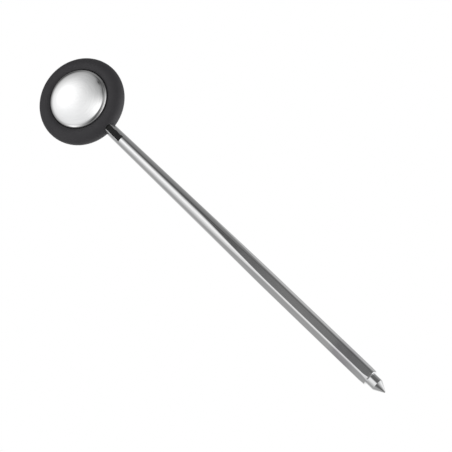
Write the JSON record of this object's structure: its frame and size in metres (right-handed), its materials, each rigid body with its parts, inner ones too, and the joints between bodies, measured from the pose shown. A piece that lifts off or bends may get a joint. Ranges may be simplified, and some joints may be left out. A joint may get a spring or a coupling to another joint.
{
  "type": "reflex hammer",
  "caption": "Neurological reflex hammer: a round domed head in a soft striking ring, on a slim tapering hexagonal handle that unscrews and ends in a scratch point.",
  "frame": {"origin": "centre of the disc, on its axis, in the middle of the ring's thickness", "axes": "+X along the handle from the head to the point, +Z along the disc's axis out of its domed face, +Y across the disc"},
  "size_m": [0.2253, 0.0432, 0.0116],
  "materials": {
    "head_chrome": "polished bright chrome plate",
    "ring_rubber": "moulded, satin",
    "handle_chrome": "polished bright chrome plate with dark milled spanner flats",
    "point_chrome": "turned and polished bright chrome plate"
  },
  "bodies": {
    "head": {"head_disc": "head_chrome", "rubber_ring": "ring_rubber"},
    "handle": {"handle": "handle_chrome"},
    "point": {"point": "point_chrome"}
  },
  "joints": [
    {"name": "handle_unscrew", "type": "slide", "parent": "head", "child": "handle", "axis": [1, 0, 0], "range_m": [0, 0.0094]},
    {"name": "point_unscrew", "type": "slide", "parent": "handle", "child": "point", "axis": [1, 0, 0], "range_m": [0, 0.0064]}
  ]
}
